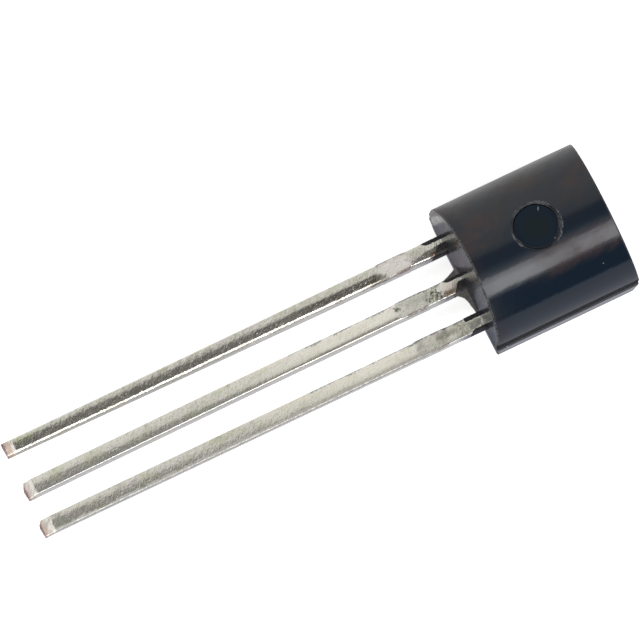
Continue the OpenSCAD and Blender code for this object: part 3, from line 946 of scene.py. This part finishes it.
class BuildLeads(bpy.types.Operator):
    """The three tinned leads, with the frame that they are part of inside the case"""

    bl_idname = "transistor.leads"
    bl_label = "Leads"

    # stains and marks of painted light: distances from the case and from the lead's middle in mm,
    # softness, tone, strength, how speckled and how dull
    # bright paints the highlight where a lead meets the case's end face
    rust, bright = (0.20, 0.12, 0.08), (0.95, 0.94, 0.92)
    # edge and far_edge are darker tones along the +Y edge
    edge, far_edge = (0.22, 0.22, 0.22), (0.34, 0.34, 0.34)
    stains_and_painted_light = {
        "base": [
            # Painted dark reflection and tarnish mottling: these two rows darken lead 1's band
            # that mirrors the dark ceiling.
            (2.1, 13.9, -0.2, 0.06, 0.07, (0.55, 0.52, 0.47), 0.75, 0.6, 0.0),
            (2.08, 4.6, -0.19, 0.05, 0.06, (0.36, 0.31, 0.26), 0.5, 0.4, 0.0),
            # Painted shade: greys the -Y edge and side face, which mirror the shaded floor.
            (6.6, 14.0, -0.4, -0.185, 0.02, (0.50, 0.49, 0.46), 0.6, 0.2, 0.1),
            (1.15, 1.9, -0.3, 0.3, 0.06, (0.95, 0.89, 0.83), 0.8, 0.0, 0.06),
            (1.22, 1.34, -0.12, 0.2, 0.03, (0.99, 0.97, 0.94), 0.8, 0.2, 0.0),
            (1.15, 1.95, -0.30, -0.20, 0.03, rust, 0.85, 0.3, 0.1),
            (1.1, 2.1, 0.225, 0.3, 0.015, (0.30, 0.29, 0.27), 0.7, 0.3, 0.0),
            (0.26, 0.54, -0.26, -0.05, 0.04, (0.13, 0.05, 0.03), 0.95, 0.3, 0.2),
            # Painted dark reflection: the pointed start of lead 1's dark band.
            (1.96, 2.5, -0.27, -0.06, 0.03, (0.17, 0.14, 0.11), 0.85, 0.2, 0.1),
            (0.0, 0.36, -0.16, -0.02, 0.04, (0.05, 0.035, 0.03), 0.85, 0.3, 0.2),
            # Painted highlight where the lead meets the case's end face.
            (-0.1, 0.05, 0.0, 0.17, 0.012, bright, 0.8, 0.2, 0.0),
            (13.2, 13.75, 0.0, 0.2, 0.08, (0.66, 0.72, 0.42), 0.5, 0.0, 0.0),
            (0.6, 1.1, -0.04, 0.2, 0.08, (0.45, 0.45, 0.36), 0.5, 0.6, 0.0),
        ],
        "collector": [
            (2.2, 6.5, -1.0, 1.0, 0.3, (0.98, 0.93, 0.82), 0.5, 0.0, 0.0),
            # Painted shade: greys the -Y edge and side face, which mirror the shaded floor.
            (2.4, 14.0, -0.4, -0.215, 0.02, (0.45, 0.44, 0.42), 0.5, 0.2, 0.1),
            (1.97, 2.13, -0.01, 0.10, 0.04, (0.13, 0.15, 0.11), 0.95, 0.1, 0.1),
            (1.2, 1.75, -0.06, 0.14, 0.14, (0.52, 0.54, 0.46), 0.65, 0.1, 0.1),
            (0.74, 1.2, -0.20, 0.2, 0.08, (0.10, 0.10, 0.055), 0.9, 0.8, 0.1),
            (0.72, 0.78, -0.3, 0.3, 0.015, (0.97, 0.95, 0.92), 0.8, 0.0, 0.0),
            (0.20, 0.70, -0.08, 0.15, 0.05, (0.90, 0.80, 0.74), 0.7, 0.1, 0.0),
            (0.24, 0.64, -0.24, -0.04, 0.05, (0.22, 0.11, 0.06), 0.85, 0.4, 0.2),
            (0.1, 0.34, -0.08, 0.08, 0.05, (0.42, 0.39, 0.36), 0.7, 0.4, 0.1),
            # Painted highlight where the lead meets the case's end face.
            (-0.1, 0.05, 0.0, 0.17, 0.012, bright, 0.8, 0.2, 0.0),
            (1.2, 1.9, -0.30, -0.22, 0.03, rust, 0.8, 0.4, 0.1),
            (0.6, 2.4, 0.225, 0.3, 0.015, edge, 0.8, 0.2, 0.0),
            (2.4, 5.5, 0.215, 0.3, 0.015, far_edge, 0.8, 0.2, 0.0),
        ],
        "emitter": [
            (2.2, 7.0, -1.0, 1.0, 0.3, (0.98, 0.93, 0.80), 0.5, 0.0, 0.0),
            # Painted shade: greys and dulls the -Y edge and side face, which mirror the shaded
            # floor.
            (1.9, 14.0, -0.4, -0.17, 0.03, (0.40, 0.39, 0.375), 0.9, 0.3, 0.4),
            (1.86, 2.04, -0.05, 0.18, 0.05, (0.36, 0.35, 0.26), 0.85, 0.3, 0.1),
            (0.86, 1.45, -0.06, 0.14, 0.1, (0.30, 0.31, 0.23), 0.8, 0.15, 0.1),
            (1.45, 2.1, -0.02, 0.2, 0.08, (0.99, 0.95, 0.86), 0.5, 0.2, 0.0),
            (0.5, 0.9, -0.2, 0.2, 0.08, (0.30, 0.30, 0.23), 0.7, 0.7, 0.1),
            (0.08, 0.46, -0.14, 0.10, 0.04, (0.24, 0.24, 0.23), 0.8, 0.3, 0.2),
            # Painted highlight where the lead meets the case's end face.
            (-0.1, 0.05, -0.15, 0.13, 0.012, bright, 0.8, 0.2, 0.0),
            (1.15, 1.85, -0.30, -0.215, 0.03, rust, 0.8, 0.4, 0.1),
            (0.5, 2.4, 0.225, 0.3, 0.015, edge, 0.8, 0.2, 0.0),
            (2.4, 5.5, 0.215, 0.3, 0.015, far_edge, 0.8, 0.2, 0.0),
            (13.45, 13.65, -0.22, 0.2, 0.05, (0.40, 0.40, 0.34), 0.6, 0.4, 0.1),
            (12.3, 13.3, -0.06, 0.16, 0.08, (0.90, 0.84, 0.74), 0.6, 0.3, 0.0),
        ],
    }

    def execute(self, context):
        lead = props("leads")
        for name, look in LEADS.items():
            y, plates = look["place"] * lead.pitch, look["plates"]
            patches = lead_patches(lead, look, (plates[0][0] + 0.1) * MM)
            for plate in plates:
                x0, long, wide = (v * MM for v in plate)
                x, half = [x0, x0 + long, x0 + long, x0], wide / 2
                outline = rounded_outline(
                    np.column_stack([x, [y - half, y - half, y + half, y + half]]), 0.1 * MM)
                patches += slab(outline, LEAD_LO.z, LEAD_HI.z)
            material = tin(name + "_tin", look, y, self.stains_and_painted_light[name])
            piece = shell(name + "_pin", patches, material)
            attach(piece, ROOT)
            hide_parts(name + "_lead")
        return {"FINISHED"}


class DressInside(bpy.types.Operator):
    """Finishes for the die, its solder and the bond wires inside the case"""

    bl_idname = "transistor.inside"
    bl_label = "Die and bond wires"

    def execute(self, context):
        look = props("finishes")
        gold = plain_metal("bond_gold", look.gold, 0.18)
        finishes = {
            "die": plain_metal("polished_silicon", look.silicon, 0.08, 0.6, 0.017, 0.0001),
            "die_attach": plain_metal("dull_solder", look.solder, 0.45, 1.0, 0.025, 0.002),
            "base_wire": gold,
            "emitter_wire": gold,
        }
        for node, material in finishes.items():
            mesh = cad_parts[node].data
            if not mesh.materials:
                mesh.materials.append(material)
            for k in range(len(mesh.materials)):
                mesh.materials[k] = material
        return {"FINISHED"}


def sheet(name, points, material, reflected_only=True):
    """A sheet of the studio on a grid of points. Cards are seen in reflections alone."""
    flat, faces = patch(points)
    mesh = bpy.data.meshes.new(name)
    mesh.from_pydata(flat.tolist(), [], faces.tolist())
    mesh.materials.append(material)
    made = linked(name, mesh)
    if reflected_only:
        made.visible_camera = made.visible_diffuse = made.visible_shadow = False
        made.visible_transmission = made.visible_volume_scatter = False


def level_sheet(x0, x1, y0, y1, z):
    """The four corners of a level rectangle as a grid."""
    return np.array([[(x0, y0, z), (x1, y0, z)], [(x0, y1, z), (x1, y1, z)]])


class BuildStudio(bpy.types.Operator):
    """Pale floor, soft light, dark cards for the gloss and the camera"""

    bl_idname = "transistor.studio"
    bl_label = "Studio"

    def execute(self, context):
        scene, studio, look = context.scene, props("studio"), props("finishes")
        scene.view_settings.view_transform = "Standard"
        self.world(scene, studio)
        self.floor(studio, look)
        self.lights(studio)
        self.cards()
        camera = scene.camera = linked("camera", bpy.data.cameras.new("camera"))
        camera.data.lens, camera.data.sensor_width = studio.lens, 36.0
        camera.data.clip_start, camera.data.clip_end = 0.01, 10.0
        camera.location = studio.camera_at
        camera.rotation_euler = Euler(studio.camera_turn, "XYZ")
        return {"FINISHED"}

    def seen(self, g):
        """1 for rays from the camera and for those that gloss or glass send on."""
        path = g.node("LightPath").outputs
        seen = g.math("MAXIMUM", path["Is Camera Ray"], path["Is Glossy Ray"])
        return g.math("MAXIMUM", seen, path["Is Transmission Ray"])

    def world(self, scene, studio):
        world = scene.world = bpy.data.worlds.new("white_room")
        g = Graph(world)
        strength = studio.fill + self.seen(g) * (1 - studio.fill)
        light = g.node("Background", {"Color": (1, 1, 1), "Strength": strength})
        g.end(light, "World")

    def floor(self, studio, look):
        g, at, *_ = paint("pale_floor")
        grain = g.noise(at, 2.5, detail=2.0)
        tone = g.coats(look.floor, (grain * 0.3, tuple(0.98 * c for c in look.floor)))
        glow = self.seen(g) * studio.floor_glow
        paper = g.node("BsdfDiffuse", {"Color": tone})
        shine = g.node("Emission", {"Color": (1, 1, 1), "Strength": glow})
        both = g.node("AddShader", {0: paper.outputs[0], 1: shine.outputs[0]})
        sheet("floor", level_sheet(-1.5, 1.5, -1.5, 1.5, -0.02 * MM), g.end(both), False)

    def lights(self, studio):
        """One long softbox that leans over the -Y side, and its dimmer upper lip. The power of
        each is pi times its area times its radiance."""
        distance, long = 0.35, 0.7
        for name, lean, wide, strength in (
                ("softbox", 43.0, 0.105, 1.0), ("softbox_lip", 30.8, 0.046, 0.66)):
            data = bpy.data.lights.new(name, "AREA")
            data.shape, data.size, data.size_y = "RECTANGLE", long, wide
            data.energy = math.pi * wide * long * studio.softbox * strength
            lean, across = math.radians(lean), Vector((1, 0, 0))
            up = Vector((0, -math.sin(lean), math.cos(lean)))
            box = linked(name, data)
            box.location = up * distance
            box.rotation_euler = Matrix((across, up.cross(across), up)).transposed().to_euler()
            box.visible_camera = False

    def veil(self, name, cover, tint=(0.0, 0.0, 0.0)):
        """A dark veil that hides as much of what is behind it as cover says: a number, or what a
        function makes of the graph and the place in millimetres."""
        g, _, *place = paint(name)
        if callable(cover):
            cover = cover(g, *place)
        clear = g.node("BsdfTransparent")
        black = g.node("Emission", {"Color": tint, "Strength": 1.0})
        return g.end(g.node("MixShader", {
            0: cover, 1: clear.outputs[0], 2: black.outputs[0]}))

    def cards(self):
        """Dark cards that only the gloss sees: a ceiling curved round the leads' line that is
        thin on the +Y side and dense overhead, a card that stands close by on the -Y side, a
        bluish grey one that lies under the leads as painted shade of the floor, darkest by the
        case's lead end, and a thin one on the floor on the +Y side."""
        def ceiling(g, x, y, z):
            lean = g.math("ARCTAN2", -y, z) * (180 / math.pi)
            cover = g.step(lean, -104, -96) * 0.2 + g.step(lean, -46, -12) * 0.22
            cover = cover + g.step(lean, -12, -4) * 0.45
            return cover * (1 - g.step(lean, 10, 29))

        lean, x = np.meshgrid(np.radians(np.linspace(-104, 28, 34)), [-0.2, 0.6], indexing="ij")
        arc = np.stack([x, -0.4 * np.sin(lean), 0.4 * np.cos(lean)], -1)
        sheet("dark_ceiling", arc, self.veil("ceiling_veil", ceiling))
        upright = np.array([[(-0.04, -0.02, 0.0), (0.03, -0.02, 0.0)],
                            [(-0.04, -0.02, 0.0156), (0.03, -0.02, 0.0156)]])
        sheet("dark_side", upright, self.veil(
            "side_veil", lambda g, x, y, z: 0.45 + g.step(x, -1.0, 1.0) * 0.52))

        # Painted shade: the floor under the leads is mirrored darker and bluish, most of all by
        # the case's lead end.
        def floor_shade_cover(g, x, y, z):
            near = 0.19 + g.step(-y, 0.2, 1.4) * 0.11
            return 0.54 + g.step(x, -3.1, -2.7) * near + g.step(x, -2.3, -2.1) * (0.1 - near)

        sheet("floor_shade_card", level_sheet(-0.3, 0.3, -0.3, 0.00225, -0.012 * MM),
              self.veil("floor_shade_veil", floor_shade_cover, (0.03, 0.03, 0.10)))
        sheet("far_floor", level_sheet(-0.3, 0.3, 0.0025, 0.3, -0.012 * MM),
              self.veil("far_veil", 0.45))


OPERATORS = (BuildCase, BuildFlash, BuildLeads, DressInside, BuildStudio)


class TransistorPanel(bpy.types.Panel):
    """Builds the transistor piece by piece"""

    bl_idname = "VIEW3D_PT_transistor"
    bl_label = "Transistor"
    bl_space_type = "VIEW_3D"
    bl_region_type = "UI"
    bl_category = "Transistor"

    def draw(self, context):
        for operator in OPERATORS:
            self.layout.operator(operator.bl_idname)
        for group in GROUPS:
            box = self.layout.box()
            box.label(text=group.capitalize())
            settings = props(group)
            for key in GROUPS[group].__annotations__:
                box.prop(settings, key)


GROUPS = {
    "case": CaseSizes, "leads": LeadSizes, "finishes": Finishes, "studio": StudioSettings,
}


def register():
    for kind in (*GROUPS.values(), *OPERATORS, TransistorPanel):
        bpy.utils.register_class(kind)
    for group, kind in GROUPS.items():
        setattr(bpy.types.Scene, "transistor_" + group, bpy.props.PointerProperty(type=kind))


def unregister():
    for group in GROUPS:
        delattr(bpy.types.Scene, "transistor_" + group)
    for kind in reversed((*GROUPS.values(), *OPERATORS, TransistorPanel)):
        bpy.utils.unregister_class(kind)


def main():
    register()
    bpy.ops.transistor.case()
    bpy.ops.transistor.flash()
    bpy.ops.transistor.leads()
    bpy.ops.transistor.inside()
    bpy.ops.transistor.studio()


if __name__ == "__main__":
    main()
